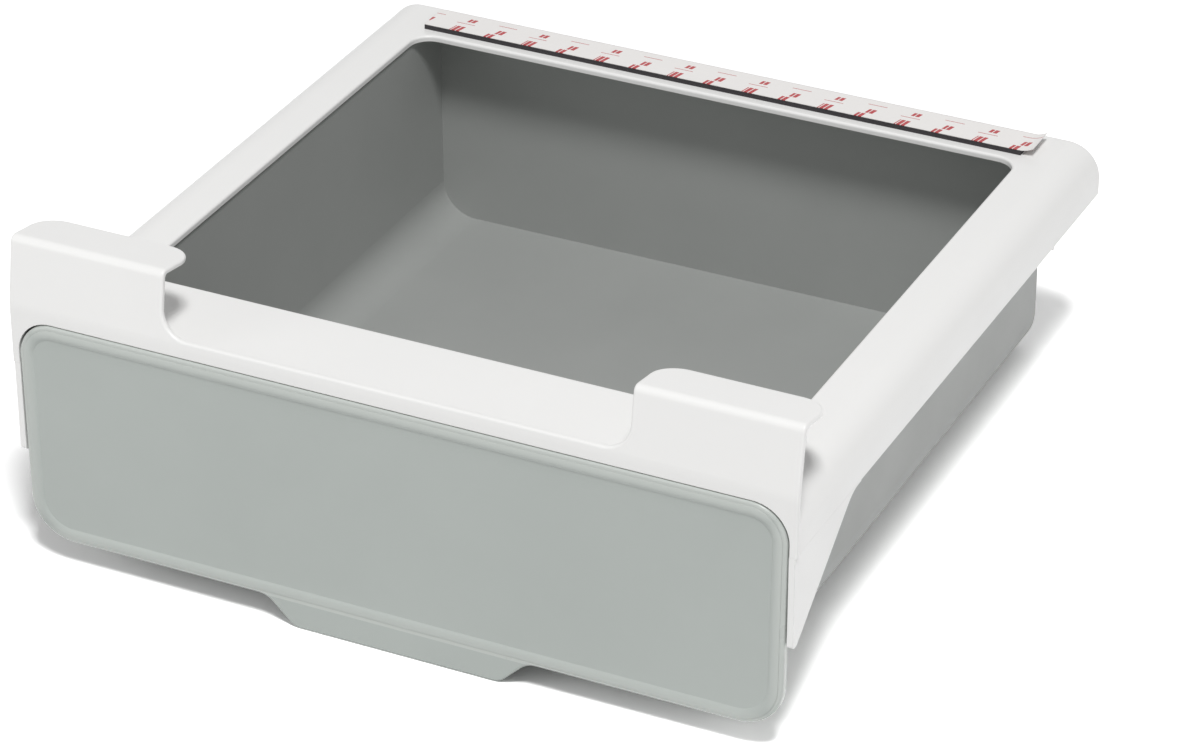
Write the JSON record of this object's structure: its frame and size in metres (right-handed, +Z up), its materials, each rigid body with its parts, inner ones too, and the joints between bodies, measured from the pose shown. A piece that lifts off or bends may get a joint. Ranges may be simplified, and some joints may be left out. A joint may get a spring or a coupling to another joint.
{
  "type": "under-shelf drawer",
  "caption": "Open-topped drawer that slides in a white frame, with front hooks for a shelf's edge and adhesive tape for its underside.",
  "frame": {"origin": "under the middle of the object, level with the lower edge of the drawer front's finger tab", "axes": "+X right as seen from the front, +Y from the drawer front to the rear, +Z up"},
  "size_m": [0.3068, 0.2924, 0.131],
  "materials": {
    "frame_plastic": "satin moulded",
    "rail_plastic": "satin moulded",
    "front_plastic": "fine matt texture",
    "tray_plastic": "smooth matt",
    "runner_plastic": "smooth",
    "screw_steel": "zinc plated",
    "tape_foam": "closed-cell foam",
    "tape_liner": "siliconised paper with short dashes"
  },
  "bodies": {
    "frame": {"top_frame": "frame_plastic", "front_fascia": "frame_plastic", "fascia_screws": "screw_steel", "left_side_rail": "rail_plastic", "right_side_rail": "rail_plastic", "left_rail_screws": "screw_steel", "right_rail_screws": "screw_steel", "left_rail_pad": "runner_plastic", "right_rail_pad": "runner_plastic", "tape_foam": "tape_foam", "tape_liner": "tape_liner"},
    "drawer": {"drawer_tray": "tray_plastic", "drawer_front": "front_plastic", "drawer_front_screws": "screw_steel", "left_rear_shoe": "runner_plastic", "right_rear_shoe": "runner_plastic"}
  },
  "joints": [
    {"name": "drawer_slide", "type": "slide", "parent": "frame", "child": "drawer", "axis": [0, -1, 0], "range_m": [0, 0.215]}
  ]
}
